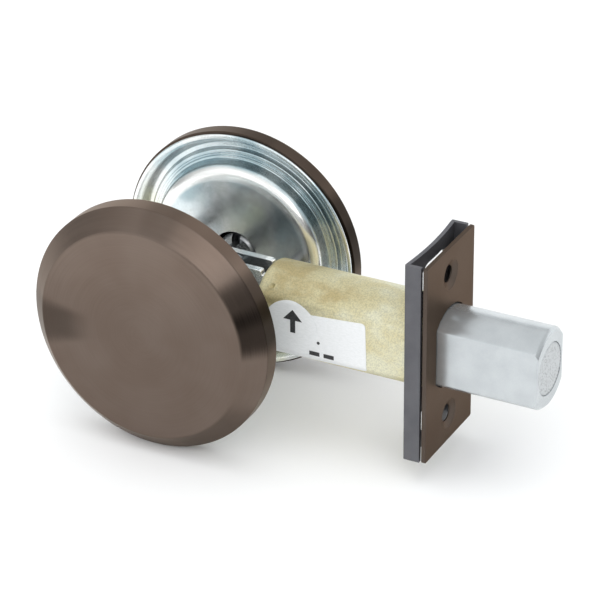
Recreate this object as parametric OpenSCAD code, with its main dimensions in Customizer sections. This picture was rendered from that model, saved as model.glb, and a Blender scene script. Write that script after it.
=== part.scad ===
// One-sided deadbolt for a bored door: a blank plate outside, a thumbturn inside.
// X is the way the bolt throws, Y runs through the door towards the room, Z is up.
// The origin is where the thumbturn axis crosses the bolt axis.

/* [Door] */
// Thickness of the door that the two plates clamp
door_t = 44.45; // [40:0.05:51]
// Thumbturn axis to the front of the faceplate
backset = 74; // [70:0.5:80]

/* [Plates] */
// Outside diameter of both plates
plate_d = 69.85; // [68:0.05:76]
// Height of the straight wall of a plate
wall_h = 5; // [4:0.5:8]
// Height of the bevel between the wall and the face
bevel_h = 5.1; // [4:0.1:7]
// Thickness of the bronze shells
shell_t = 1.1; // [0.8:0.1:1.4]
// How far the face is domed
dome_h = 0.35; // [0:0.05:1]
// Thickness of the steel plates inside the shells
liner_t = 1.1; // [0.8:0.1:1.4]

/* [Latch] */
// Diameter of the latch sleeve
sleeve_d = 24.6; // [24.2:0.1:25.2]
// Width of the sleeve across its flats
sleeve_w = 19.8; // [19.4:0.1:20.6]
// Wall of the sleeve
sleeve_t = 1; // [0.8:0.1:1.1]
// Diameter of the bolt
bolt_d = 22.2; // [21.6:0.1:22.2]
// Width of the bolt across its flats
bolt_w = 15.9; // [14:0.1:16.4]
// Travel of the bolt
throw = 25.4; // [24:0.1:25.4]
// How far the withdrawn bolt stands out of the faceplate
bolt_proud = 2.9; // [0:0.1:3]

/* [Faceplate] */
// Height of the faceplate
face_h = 57.15; // [57:0.05:60]
// Width of the faceplate
face_w = 28.575; // [28:0.025:32]
// Thickness of the faceplate
face_t = 1.2; // [1:0.1:1.6]
// Distance between the two faceplate screw holes
screw_pitch = 41.275; // [40:0.025:43]
// Radius of a faceplate screw hole
screw_r = 2.35; // [2:0.05:2.6]

/* [Hidden] */
$fn = 96;

// Colours
bronze = [0.36, 0.31, 0.28];
zinc = [0.72, 0.77, 0.78];
pale_gold = [0.78, 0.74, 0.56];
bolt_silver = [0.85, 0.87, 0.88];
dark_grey = [0.36, 0.36, 0.38];
spring_steel = [0.45, 0.46, 0.48];
label_white = [0.94, 0.95, 0.96];
slip = 0.05; // gap between parts that slide or turn on each other
near = 0.1; // gap between parts that only lie close together

// Plates
plate_r = plate_d / 2;
door_y = door_t / 2;
bevel_run = bevel_h;
face_r = plate_r - bevel_run;
shell_h = wall_h + bevel_h;
edge_round = 0.7; // outside rounding of the shell's edges
lip_h = 0.9; // height of the steel lip under the inside rose
rim_inset = 0.6; // how far that lip lies inside the rose's edge
shaft_hole_r = 8 + slip / 2;
centre_hole_r = 6.65; // opening in the middle of the inside mounting plate
pilot_rise = 2.4; // how far the middle of each steel plate stands into the door
pilot_y = door_y - pilot_rise;

// Mounting hardware, to each side of the thumbturn axis
post_x = 17.5;
post_r = 3.2;
post_end_y = 5.6;
screw_hole_r = 2.6;
screw_shank_r = 2.3;
screw_head_r = 4.4;
screw_head_h = 2.3;

// Latch
sleeve_r = sleeve_d / 2;
bolt_r = bolt_d / 2;
bolt_len = 51.8;
bolt_tip = backset + bolt_proud + throw;
bolt_rear = bolt_tip - bolt_len;
bolt_edge = 1; // turned chamfer at the bolt's tip
flat_edge = 0.2; // chamfer where the flats end
insert_r = 7.2;
insert_len = 20;
sleeve_rear = 22;
sleeve_front = backset - 3.7;
guide_len = 9;
cheek_in = 2.25; // inner and outer faces of the cheek plates, from the middle
cheek_out = 4.25;
cheek_rear = -12;
cheek_step = 21; // the plates are cut down from here on, to enter the sleeve
cheek_high = 11.4;
cheek_low = 9.8;
cheek_front = sleeve_rear + 2.6;
post_clear_r = 3.7;

// Crank, pin and link: a quarter turn moves the pin by the throw
crank_len = throw / 2 / sin(45);
pin_r = 2;
pin_room = 0.65; // the pin's arc and the even travel differ by up to 0.55
hub_r = 5.9;
journal_r = 5;
link_half = 0.95;
link_top = -7;
link_bottom = -11;
lug_half = 4.6;
pin_at = [crank_len * cos(45), -crank_len * sin(45)];
rivets_at = [[-8.5, 8], [10, 8.2]];
rivet_r = 1.6;
spacer_r = 2.4;

// Faceplate and the channel behind it
web_t = 1.1;
channel_depth = 4.6;
channel_front = backset - 1.8;
channel_back = channel_front - channel_depth;
web_bow = 0.8; // the middle of the web stands forward
slot_r = 4.2; // slots in the channel behind the screw holes
slot_reach = 3.6; // how far each round end lies from the middle
sink_r = 4.3; // countersinks in the faceplate
sink_h = 0.8;
label_t = 0.12;

// ---- helpers ----

function toward(a, b) = (b - a) / norm(b - a);

// The arc that rounds corner b between a and c
function corner(a, b, c, r, steps = 5) =
    let (u = toward(b, a),
         w = toward(b, c),
         half = acos(u * w) / 2,
         centre = b + (u + w) / norm(u + w) * (r / sin(half)),
         first = b + u * (r / tan(half)) - centre,
         last = b + w * (r / tan(half)) - centre,
         a0 = atan2(first[1], first[0]),
         raw = atan2(last[1], last[0]) - a0,
         sweep = raw > 180 ? raw - 360 : (raw < -180 ? raw + 360 : raw))
    [for (i = [0:steps]) centre + r * [cos(a0 + sweep * i / steps), sin(a0 + sweep * i / steps)]];

// An outline given as [x, y, rounding] points
function rounded(pts) =
    let (n = len(pts))
    [for (i = [0:n - 1])
        let (b = [pts[i][0], pts[i][1]],
             a = [pts[(i + n - 1) % n][0], pts[(i + n - 1) % n][1]],
             c = [pts[(i + 1) % n][0], pts[(i + 1) % n][1]])
        each (pts[i][2] > 0 ? corner(a, b, c, pts[i][2]) : [b])];

// Turned part about the Y axis, from [radius, y] points
module turned(pts) {
    rotate([-90, 0, 0])
        rotate_extrude()
            polygon(pts);
}

// Cylinder along Y at x, z
module rod_y(x, z, r, y0, y1) {
    translate([x, y0, z])
        rotate([-90, 0, 0])
            cylinder(r = r, h = y1 - y0);
}

// Cylinder along X at y, z
module rod_x(y, z, r, x0, x1) {
    translate([x0, y, z])
        rotate([0, 90, 0])
            cylinder(r = r, h = x1 - x0);
}

// Outline in X and Z, made solid from y0 to y1
module slab(y0, y1) {
    translate([0, y1, 0])
        rotate([90, 0, 0])
            linear_extrude(height = y1 - y0)
                children();
}

// Outline in Y and Z, made solid from x0 to x1
module slice(x0, x1) {
    translate([x0, 0, 0])
        rotate([90, 0, 90])
            linear_extrude(height = x1 - x0)
                children();
}

// Round section with two flats, the section of the sleeve and of the bolt
module flatted(r, half) {
    intersection() {
        circle(r = r);
        square([2 * half, 2 * r + 2], center = true);
    }
}

// Two round ends and the straight sides that touch both
module bar(a, b, ra, rb) {
    heading = atan2(b[1] - a[1], b[0] - a[0]);
    spread = acos((ra - rb) / norm(b - a));
    up = [cos(heading + spread), sin(heading + spread)];
    down = [cos(heading - spread), sin(heading - spread)];
    polygon([a + ra * up, b + rb * up, b + rb * down, a + ra * down]);
    translate(a)
        circle(r = ra);
    translate(b)
        circle(r = rb);
}

// ---- plates ----

// Half section of a bevelled shell; its open rim is at y = rim and hole_r is the centre hole
function shell_section(rim, hole_r) =
    let (inner_bevel = shell_t * tan(22.5),
         top = shell_h)
    rounded([
        [plate_r, rim, 0.2],
        [plate_r, wall_h, edge_round],
        [face_r, top, edge_round],
        [hole_r, top + (hole_r == 0 ? dome_h : dome_h * 0.9), 0],
        [hole_r, top - shell_t, 0],
        [face_r - inner_bevel, top - shell_t, 0],
        [plate_r - shell_t, wall_h - inner_bevel, 0],
        [plate_r - shell_t, rim, 0.2]
    ]);

// Half section of a pressed steel plate: lip, groove, ring, wall and raised middle.
// Depths run from the door's face into the shell.
function pressed_section(lip_r, hole_r, lift) =
    let (t = liner_t,
         front = [
             [lip_r, lift, 0.3],
             [33.1, lift, 0.5],
             [31, 3.7, 0.5],
             [29.5, 3.7, 0.3],
             [28.9, 2.5, 0.4],
             [26.6, 2.3, 0.5],
             [25.3, -pilot_rise, 2],
             [hole_r, -pilot_rise, 0]],
         back = [
             [hole_r, t - pilot_rise, 0],
             [24.2, t - pilot_rise, 0.9],
             [25.4, 2.3 + t, 0.4],
             [28.2, 2.5 + t, 0.4],
             [28.7, 3.7 + t, 0.4],
             [31.7, 3.7 + t, 0.5],
             [33.6, lift + lip_h, 0.4],
             [lip_r, lift + lip_h, 0.3]])
    rounded(concat(front, back));

function at_door(pts) = [for (p = pts) [p[0], door_y + p[1]]];

module outside_plate() {
    color(bronze)
        mirror([0, 1, 0])
            turned(at_door(shell_section(0, 0)));
}

module inside_rose() {
    color(bronze)
        turned(at_door(shell_section(lip_h + slip, shaft_hole_r)));
}

module outside_anchor_plate() {
    color(zinc)
        mirror([0, 1, 0])
            difference() {
                turned(at_door(pressed_section(plate_r - shell_t - slip, 0, 0.5)));
                for (side = [-1, 1])
                    rod_y(side * post_x, 0, post_r + slip / 2, pilot_y - 1, door_y);
            }
}

module inside_mounting_plate() {
    color(zinc)
        difference() {
            turned(at_door(pressed_section(plate_r - rim_inset, centre_hole_r, 0)));
            for (side = [-1, 1])
                rod_y(side * post_x, 0, screw_hole_r, pilot_y - 1, door_y);
        }
}

// Two tapped posts, headed behind the anchor plate
module anchor_posts() {
    color(spring_steel)
        for (side = [-1, 1])
            difference() {
                union() {
                    rod_y(side * post_x, 0, post_r, -pilot_y - liner_t - 1.5, -post_end_y);
                    rod_y(side * post_x, 0, post_r + 1.3, -pilot_y - liner_t - 1.5, -pilot_y - liner_t - slip);
                }
                rod_y(side * post_x, 0, screw_shank_r + slip, -pilot_y - liner_t + 1, -post_end_y + 1);
            }
}

module mounting_screws() {
    head_y = pilot_y + liner_t + slip;
    color(spring_steel)
        for (side = [-1, 1])
            difference() {
                union() {
                    rod_y(side * post_x, 0, screw_shank_r, -post_end_y - 9, head_y + 0.5);
                    rod_y(side * post_x, 0, screw_head_r, head_y, head_y + screw_head_h);
                }
                for (turn = [0, 90])
                    translate([side * post_x, head_y + screw_head_h, 0])
                        rotate([0, turn, 0])
                            cube([5, 2.4, 1], center = true);
            }
}

// ---- thumbturn ----

turn_y = door_y + shell_h + dome_h + 0.1; // back of the thumbturn's collar
shank_end_y = door_y + 5.2;
clip_y = shank_end_y + 1.9;
clip_t = 1;
shank_r = 8;
clip_groove_r = 7.2;
paddle_len = 40;
paddle_h = 17.5;
paddle_w = 9;
blade_half_w = 3.2;
blade_half_t = 1.2;
hub_front_y = pilot_y + 0.5;
hub_pilot_r = 4;

// Collar, neck and long finger grip, lying level while the bolt is thrown
module thumbturn() {
    color(bronze)
        difference() {
            union() {
                turned([
                    [0, shank_end_y], [shank_r, shank_end_y], [shank_r, clip_y],
                    [clip_groove_r, clip_y], [clip_groove_r, clip_y + clip_t + 2 * slip],
                    [shank_r, clip_y + clip_t + 2 * slip], [shank_r, turn_y],
                    [13.4, turn_y], [13.8, turn_y + 0.5], [13.8, turn_y + 2],
                    [12.6, turn_y + 3.2], [9, turn_y + 4.2], [0, turn_y + 4.2]
                ]);
                intersection() {
                    slab(turn_y + 3, turn_y + paddle_h)
                        bar([-paddle_len / 2 + paddle_w / 2, 0], [paddle_len / 2 - paddle_w / 2, 0],
                            paddle_w / 2, paddle_w / 2);
                    translate([0, 0, -paddle_w])
                        linear_extrude(height = 2 * paddle_w)
                            polygon(rounded([
                                [-8, turn_y + 2, 0],
                                [8, turn_y + 2, 0],
                                [9, turn_y + 5.5, 3],
                                [paddle_len / 2, turn_y + 8.5, 2],
                                [paddle_len / 2, turn_y + paddle_h, 5],
                                [-paddle_len / 2, turn_y + paddle_h, 5],
                                [-paddle_len / 2, turn_y + 8.5, 2],
                                [-9, turn_y + 5.5, 3]
                            ]));
                }
            }
            rod_y(0, 0, hub_pilot_r + slip, shank_end_y - 1, shank_end_y + 3.2);
        }
}

// Turned driver with a wide slot that carries the flat tailpiece
module drive_hub() {
    color(zinc)
        difference() {
            union() {
                rod_y(0, 0, 5.7, hub_front_y, shank_end_y - slip);
                rod_y(0, 0, hub_pilot_r, shank_end_y - 1, shank_end_y + 3);
            }
            translate([0, hub_front_y + 1.5, 0])
                cube([2 * blade_half_t + 0.1, 5, 2 * blade_half_w + 0.1], center = true);
        }
}

module tailpiece() {
    color(spring_steel)
        translate([-blade_half_t, -cheek_out, -blade_half_w])
            cube([2 * blade_half_t, cheek_out + hub_front_y + 3.9, 2 * blade_half_w]);
}

// Open clip in the shank's groove
module retaining_ring() {
    color(spring_steel)
        slab(clip_y + slip, clip_y + slip + clip_t)
            difference() {
                circle(r = 10.6);
                circle(r = clip_groove_r + slip);
                translate([0, -8])
                    square([7, 16], center = true);
            }
}

module wave_washer() {
    washer_y = clip_y + slip + clip_t + near;
    color(spring_steel)
        turned([
            [shank_r + 0.3, washer_y], [10.8, washer_y],
            [10.8, washer_y + 0.5], [shank_r + 0.3, washer_y + 0.5]
        ]);
}

// ---- latch ----

module latch_sleeve() {
    color(pale_gold)
        difference() {
            intersection() {
                rotate([0, 90, 0])
                    rotate_extrude()
                        polygon(rounded([
                            [0, sleeve_rear, 0],
                            [sleeve_r, sleeve_rear, 1.4],
                            [sleeve_r, sleeve_front, 0],
                            [0, sleeve_front, 0]
                        ]));
                translate([sleeve_rear - 1, -sleeve_w / 2, -sleeve_r - 1])
                    cube([sleeve_front - sleeve_rear + 2, sleeve_w, sleeve_d + 2]);
            }
            slice(sleeve_rear - 1, sleeve_front + 1)
                flatted(sleeve_r - sleeve_t, sleeve_w / 2 - sleeve_t);
        }
}

// One side plate of the tail, with its half of the end flange; side is +1 or -1 in Y
module cheek_plate(side) {
    flange_x = cheek_front - 1.5;
    mirror([0, side < 0 ? 1 : 0, 0])
        difference() {
            union() {
                slab(cheek_in, cheek_out)
                    polygon(rounded([
                        [cheek_rear, -cheek_high + 3, 2],
                        [cheek_rear + 3, -cheek_high, 2],
                        [cheek_step, -cheek_high, 0.8],
                        [cheek_step, -cheek_low, 0],
                        [cheek_front, -cheek_low, 0],
                        [cheek_front, cheek_low, 0],
                        [cheek_step, cheek_low, 0],
                        [cheek_step, cheek_high, 0.8],
                        [cheek_rear + 3, cheek_high, 2],
                        [cheek_rear, cheek_high - 3, 2]
                    ]));
                intersection() {
                    slice(flange_x, cheek_front)
                        flatted(sleeve_r - sleeve_t - near, sleeve_w / 2 - sleeve_t - near);
                    translate([0, near / 2, -sleeve_r])
                        cube([cheek_front + 1, sleeve_r, sleeve_d]);
                }
            }
            rod_y(0, 0, journal_r + slip, 0, cheek_out + 1);
            rod_y(post_x, 0, post_clear_r, 0, cheek_out + 1);
            for (at = rivets_at)
                rod_y(at[0], at[1], rivet_r + 0.01, 0, cheek_out + 1);
            translate([flange_x - 1, 0, link_bottom - 1])
                cube([4, link_half + 0.25, link_top - link_bottom + 1.5]);
        }
}

module outer_cheek_plate() {
    color(zinc)
        cheek_plate(-1);
}

module inner_cheek_plate() {
    color(zinc)
        cheek_plate(1);
}

// Two shouldered rivets that hold the cheek plates apart
module cheek_rivets() {
    color(spring_steel)
        for (at = rivets_at) {
            rod_y(at[0], at[1], rivet_r, -cheek_out - 0.1, cheek_out + 0.1);
            rod_y(at[0], at[1], spacer_r, -cheek_in + 0.01, cheek_in - 0.01);
            for (side = [-1, 1])
                rod_y(at[0], at[1], spacer_r, side * (cheek_out + 0.41) - 0.4, side * (cheek_out + 0.41) + 0.4);
        }
}

// Leaf that hooks over both spacers and bears on the crank's hub
module detent_spring() {
    leaf_t = 0.4;
    over = spacer_r + 0.2;
    rear = rivets_at[0];
    front = rivets_at[1];
    line = [
        rear + [-2.2, over - 0.7],
        rear + [0, over],
        rear + [2.9, over - 1],
        [-2.2, hub_r + slip],
        [2.2, hub_r + slip],
        front + [-2.9, over - 1],
        front + [0, over],
        front + [2.2, over - 0.7]
    ];
    color(spring_steel)
        slab(-1.8, 1.8)
            polygon(concat(line, [for (i = [len(line) - 1:-1:0]) line[i] + [0, leaf_t]]));
}

// Hub with a journal in each cheek plate and two arms to the pin
module crank() {
    color(zinc)
        difference() {
            union() {
                rod_y(0, 0, journal_r, -cheek_out + slip, cheek_out - slip);
                rod_y(0, 0, hub_r, -link_half - near, link_half + near);
                for (side = [-1, 1])
                    slab(side * 1.6 - 0.55, side * 1.6 + 0.55)
                        bar([0, 0], pin_at, hub_r, pin_r + 1.6);
            }
            cube([2 * blade_half_t + 0.1, 2 * cheek_out + 1, 2 * blade_half_w + 0.1], center = true);
            rod_y(pin_at[0], pin_at[1], pin_r + 0.02, -cheek_in, cheek_in);
        }
}

module crank_pin() {
    color(spring_steel)
        rod_y(pin_at[0], pin_at[1], pin_r, -cheek_in + near, cheek_in - near);
}

// Flat link from the bolt to the crank; its upright slot takes the pin
module tail_link() {
    link_front = bolt_rear + 7;
    lug_x = pin_at[0];
    slot_half = pin_r + pin_room;
    color(zinc)
        slab(-link_half, link_half)
            difference() {
                polygon(rounded([
                    [link_front, link_top, 0.8],
                    [lug_x - lug_half, link_top, 2],
                    [lug_x - lug_half, -crank_len - 5.2, 3],
                    [lug_x + lug_half, -crank_len - 5.2, 3],
                    [lug_x + lug_half, link_bottom, 1],
                    [link_front, link_bottom, 0.8]
                ]));
                bar([lug_x, pin_at[1]], [lug_x, -crank_len - 0.01], slot_half, slot_half);
                translate([bolt_rear + 4, (link_top + link_bottom) / 2])
                    circle(r = 1.3);
            }
}

module link_pin() {
    color(spring_steel)
        rod_y(bolt_rear + 4, (link_top + link_bottom) / 2, 1.25, -4.2, 4.2);
}

module bolt() {
    color(bolt_silver)
        difference() {
            intersection() {
                rotate([0, 90, 0])
                    rotate_extrude()
                        polygon([
                            [0, bolt_rear], [bolt_r, bolt_rear], [bolt_r, bolt_tip - bolt_edge],
                            [bolt_r - bolt_edge, bolt_tip], [0, bolt_tip]
                        ]);
                translate([0, 0, -bolt_r])
                    linear_extrude(height = bolt_d)
                        polygon([
                            [bolt_rear, -bolt_w / 2],
                            [bolt_tip - flat_edge, -bolt_w / 2],
                            [bolt_tip, -bolt_w / 2 + flat_edge],
                            [bolt_tip, bolt_w / 2 - flat_edge],
                            [bolt_tip - flat_edge, bolt_w / 2],
                            [bolt_rear, bolt_w / 2]
                        ]);
            }
            rod_x(0, 0, insert_r + 0.02, bolt_tip - insert_len - 0.1, bolt_tip + 1);
            translate([bolt_rear - 1, -link_half - 0.05, link_bottom - 1])
                cube([8.2, 2 * link_half + 0.1, link_top - link_bottom + 1.1]);
            rod_y(bolt_rear + 4, (link_top + link_bottom) / 2, 1.27, -bolt_r, bolt_r);
        }
}

module hardened_insert() {
    color(spring_steel)
        rod_x(0, 0, insert_r, bolt_tip - insert_len, bolt_tip - 0.1);
}

// Bush that guides the bolt behind the faceplate
module bolt_guide() {
    guide_front = backset - face_t;
    color(zinc)
        difference() {
            slice(guide_front - guide_len, guide_front)
                flatted(sleeve_r - sleeve_t - 0.02, sleeve_w / 2 - sleeve_t - 0.02);
            slice(guide_front - guide_len - 1, guide_front + 1)
                flatted(bolt_r + slip, bolt_w / 2 + slip);
        }
}

// ---- faceplate ----

// Channel behind the faceplate; its web is bowed forward in the middle
module backer_channel() {
    half = face_w / 2;
    bow_steps = 8;
    function bow(y) = web_bow * (1 - pow(y / (half - web_t), 2));
    web_y = [for (i = [-bow_steps:bow_steps]) (half - web_t) * i / bow_steps];
    color(dark_grey)
        difference() {
            translate([0, 0, -face_h / 2])
                linear_extrude(height = face_h)
                    polygon(concat(
                        [[channel_front, -half], [channel_back, -half]],
                        [for (y = web_y) [channel_back + bow(y), y]],
                        [[channel_back, half], [channel_front, half], [channel_front, half - web_t]],
                        [for (i = [len(web_y) - 1:-1:0]) [channel_back + web_t + bow(web_y[i]), web_y[i]]],
                        [[channel_front, -half + web_t]]
                    ));
            slice(channel_back - 1, channel_front)
                flatted(sleeve_r + 0.02, sleeve_w / 2 + 0.02);
            for (side = [-1, 1])
                slice(channel_back - 1, channel_front)
                    translate([0, side * screw_pitch / 2])
                        bar([-slot_reach, 0], [slot_reach, 0], slot_r, slot_r);
        }
}

module faceplate() {
    color(bronze)
        difference() {
            slice(backset - face_t, backset)
                polygon(rounded([
                    [-face_w / 2, -face_h / 2, 0.5],
                    [face_w / 2, -face_h / 2, 0.5],
                    [face_w / 2, face_h / 2, 0.5],
                    [-face_w / 2, face_h / 2, 0.5]
                ]));
            slice(backset - face_t - 1, backset + 1)
                flatted(bolt_r + 0.35, bolt_w / 2 + 0.35);
            for (side = [-1, 1])
                translate([backset, 0, side * screw_pitch / 2])
                    rotate([0, 90, 0]) {
                        cylinder(r = screw_r, h = 4, center = true);
                        translate([0, 0, -sink_h])
                            cylinder(r1 = screw_r, r2 = sink_r, h = sink_h);
                        cylinder(r = sink_r, h = 1);
                    }
        }
}

// ---- labels on the sleeve's outer flat ----

module long_label() {
    flat_y = -sleeve_w / 2;
    color(label_white)
        slab(flat_y - label_t, flat_y)
            polygon(rounded([
                [24, -6.8, 1.2],
                [54.8, -6.8, 1.2],
                [54.8, 6.4, 1.2],
                [24, 6.4, 1.2]
            ]));
}

module round_label() {
    flat_y = -sleeve_w / 2 - label_t;
    color(label_white)
        intersection() {
            rod_y(33.4, 0.2, 7.4, flat_y - label_t, flat_y);
            translate([20, flat_y - 1, -7])
                cube([30, 2, 14]);
        }
}

outside_plate();
outside_anchor_plate();
anchor_posts();
mounting_screws();
inside_rose();
inside_mounting_plate();
thumbturn();
drive_hub();
tailpiece();
retaining_ring();
wave_washer();
latch_sleeve();
outer_cheek_plate();
inner_cheek_plate();
cheek_rivets();
detent_spring();
crank();
crank_pin();
tail_link();
link_pin();
bolt();
hardened_insert();
bolt_guide();
backer_channel();
faceplate();
long_label();
round_label();
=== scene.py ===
"""Looks of the one-sided deadbolt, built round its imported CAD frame.

Lengths in this script are in millimetres until make_mesh() turns them into metres.
X is the way the bolt throws, Y runs through the door towards the room, Z is up.
"""

import math

import bmesh
import bpy
from mathutils import Matrix, Vector


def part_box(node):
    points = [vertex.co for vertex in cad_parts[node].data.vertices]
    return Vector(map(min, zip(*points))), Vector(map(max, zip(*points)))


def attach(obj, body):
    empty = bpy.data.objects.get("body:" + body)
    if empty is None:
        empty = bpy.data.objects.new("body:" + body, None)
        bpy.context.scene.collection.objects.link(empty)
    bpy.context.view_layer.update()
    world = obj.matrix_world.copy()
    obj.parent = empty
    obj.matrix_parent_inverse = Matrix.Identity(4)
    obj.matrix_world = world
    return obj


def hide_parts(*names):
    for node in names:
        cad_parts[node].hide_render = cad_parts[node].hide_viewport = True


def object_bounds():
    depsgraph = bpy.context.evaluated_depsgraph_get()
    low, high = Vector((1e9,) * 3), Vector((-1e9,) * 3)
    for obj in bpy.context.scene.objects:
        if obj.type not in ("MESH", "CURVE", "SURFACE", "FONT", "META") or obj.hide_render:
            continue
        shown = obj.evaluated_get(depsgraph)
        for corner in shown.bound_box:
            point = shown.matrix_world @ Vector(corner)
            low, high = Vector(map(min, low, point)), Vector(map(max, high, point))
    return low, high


MM = 0.001

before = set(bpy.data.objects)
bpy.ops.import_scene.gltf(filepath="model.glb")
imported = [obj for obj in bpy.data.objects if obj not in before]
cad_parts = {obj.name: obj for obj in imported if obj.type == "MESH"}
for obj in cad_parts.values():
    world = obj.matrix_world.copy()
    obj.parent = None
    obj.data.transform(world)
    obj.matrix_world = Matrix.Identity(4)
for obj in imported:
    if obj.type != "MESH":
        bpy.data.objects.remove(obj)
cad_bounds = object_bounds()


# ---- sizes from the frame

def cad_box(node):
    """Lowest and highest corner of a CAD node, in millimetres."""
    low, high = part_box(node)
    return low / MM, high / MM


plate_low, plate_high = cad_box("outside_plate")
rose_low, rose_high = cad_box("inside_rose")
liner_low, liner_high = cad_box("inside_mounting_plate")
anchor_high = cad_box("outside_anchor_plate")[1]
post_low, post_high = cad_box("anchor_posts")
screw_low, screw_high = cad_box("mounting_screws")
grip_low, grip_high = cad_box("thumbturn")
hub_low, hub_high = cad_box("drive_hub")
blade_low, blade_high = cad_box("tailpiece")
clip_low, clip_high = cad_box("retaining_ring")
washer_low, washer_high = cad_box("wave_washer")
sleeve_low, sleeve_high = cad_box("latch_sleeve")
cheek_low, cheek_high = cad_box("inner_cheek_plate")
rivet_high = cad_box("cheek_rivets")[1]
crank_high = cad_box("crank")[1]
link_low, link_high = cad_box("tail_link")
link_pin_low, link_pin_high = cad_box("link_pin")
crank_pin_low, crank_pin_high = cad_box("crank_pin")
bolt_low, bolt_high = cad_box("bolt")
insert_high = cad_box("hardened_insert")[1]
guide_low, guide_high = cad_box("bolt_guide")
channel_low, channel_high = cad_box("backer_channel")
face_low, face_high = cad_box("faceplate")

PLATE_R = plate_high.x
DOOR_Y = -plate_high.y           # the two rims lie this far either side of the middle
SHELL_T = 1.1
WALL_H = 5.0
BEVEL = 5.1
FACE_R = PLATE_R - BEVEL
LINER_T = 1.1
PILOT_Y = liner_low.y            # the raised middle of a pressed plate
CENTRE_HOLE_R = 6.65
SHANK_HOLE_R = 8.03
SCREW_HOLE_R = 2.6
SCREW_X = (screw_high.x - screw_low.x) / 2 - (screw_high.z - screw_low.z) / 2

SLEEVE_R = sleeve_high.z
SLEEVE_HALF = sleeve_high.y
SLEEVE_T = 1.0
SLEEVE_EDGE = 2.0                # soft rounding where a flat meets the round side
BOLT_R = bolt_high.z
BOLT_HALF = bolt_high.y

FACE_HALF_W = face_high.y
FACE_HALF_H = face_high.z
SCREW_PITCH = 41.275
FACE_HOLE_R = 2.35
SINK_R = 4.2
SLOT_R = 4.2                     # slots in the channel behind the faceplate's holes
SLOT_REACH = 3.6                 # how far each round end lies from the middle


# ---- outlines

def corner(a, b, c, r, steps):
    """The arc of radius r that rounds corner b between a and c."""
    a, b, c = Vector(a), Vector(b), Vector(c)
    u, w = (a - b).normalized(), (c - b).normalized()
    half = math.acos(max(-1.0, min(1.0, u.dot(w)))) / 2
    centre = b + (u + w).normalized() * (r / math.sin(half))
    first = b + u * (r / math.tan(half)) - centre
    last = b + w * (r / math.tan(half)) - centre
    start = math.atan2(first.y, first.x)
    sweep = math.atan2(last.y, last.x) - start
    sweep = (sweep + math.pi) % (2 * math.pi) - math.pi
    return [centre + r * Vector((math.cos(start + sweep * i / steps), math.sin(start + sweep * i / steps)))
            for i in range(steps + 1)]


def rounded(points, steps=6):
    """An outline given as (x, y, rounding) points."""
    out = []
    for i, (x, y, r) in enumerate(points):
        if r:
            out += corner(points[i - 1][:2], (x, y), points[(i + 1) % len(points)][:2], r, steps)
        else:
            out.append(Vector((x, y)))
    return out


def circle(x, y, r, steps=64):
    return [Vector((x + r * math.cos(2 * math.pi * i / steps), y + r * math.sin(2 * math.pi * i / steps)))
            for i in range(steps)]


def bar(a, b, ra, rb, steps=32):
    """Two round ends and the straight sides that touch both."""
    a, b = Vector(a), Vector(b)
    heading = math.atan2(b.y - a.y, b.x - a.x)
    spread = math.acos((ra - rb) / (b - a).length)

    def arc(centre, r, start, end):
        return [centre + r * Vector((math.cos(start + (end - start) * i / steps),
                                     math.sin(start + (end - start) * i / steps)))
                for i in range(steps + 1)]

    return (arc(b, rb, heading - spread, heading + spread)
            + arc(a, ra, heading + spread, heading - spread + 2 * math.pi))


def flatted(r, half, edge, arc_steps=48, flat_steps=10, edge_steps=6):
    """Section of a round bar with two flats, as (y, z) points; the flats' corners are rounded by edge.

    The number of points is the same for every r, half and edge, so sections can be joined.
    """
    # centre of the rounding circle, which touches the flat and the round side from inside
    cy = half - edge
    cz = math.sqrt((r - edge) ** 2 - cy ** 2)
    meet = math.atan2(cz, cy)                      # where the rounding runs into the round side
    points = []
    for i in range(flat_steps):                    # +y flat, from below to above
        points.append((half, -cz + 2 * cz * i / flat_steps))
    for i in range(edge_steps):
        a = meet * i / edge_steps
        points.append((cy + edge * math.cos(a), cz + edge * math.sin(a)))
    for i in range(arc_steps):                     # over the top
        a = meet + (math.pi - 2 * meet) * i / arc_steps
        points.append((r * math.cos(a), r * math.sin(a)))
    for i in range(edge_steps):
        a = math.pi - meet + meet * i / edge_steps
        points.append((-cy + edge * math.cos(a), cz + edge * math.sin(a)))
    return points + [(-y, -z) for y, z in points]


def at_x(x, section):
    """A (y, z) section stood up at x."""
    return [Vector((x, y, z)) for y, z in section]


# ---- meshes

def add_object(name, data):
    obj = bpy.data.objects.new(name, data)
    bpy.context.scene.collection.objects.link(obj)
    return obj


def make_mesh(name, verts, faces, sharp=32):
    """A closed mesh object from points in millimetres, smooth except at edges sharper than that angle."""
    mesh = bpy.data.meshes.new(name)
    mesh.from_pydata([Vector(v) * MM for v in verts], [], faces)
    return tidy(add_object(name, mesh), sharp)


def tidy(obj, sharp=32):
    """Merges doubled points, turns the faces outwards and sets the smoothing."""
    bm = bmesh.new()
    bm.from_mesh(obj.data)
    bmesh.ops.remove_doubles(bm, verts=bm.verts, dist=2e-7)
    bmesh.ops.recalc_face_normals(bm, faces=bm.faces)
    bm.to_mesh(obj.data)
    bm.free()
    obj.data.shade_smooth()
    obj.data.set_sharp_from_angle(angle=math.radians(sharp))
    return obj


def apply_modifiers(obj):
    """Makes the modifiers' result the object's own mesh."""
    shape = obj.evaluated_get(bpy.context.evaluated_depsgraph_get())
    mesh = bpy.data.meshes.new_from_object(shape)
    obj.modifiers.clear()
    obj.data = mesh
    return obj


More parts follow.
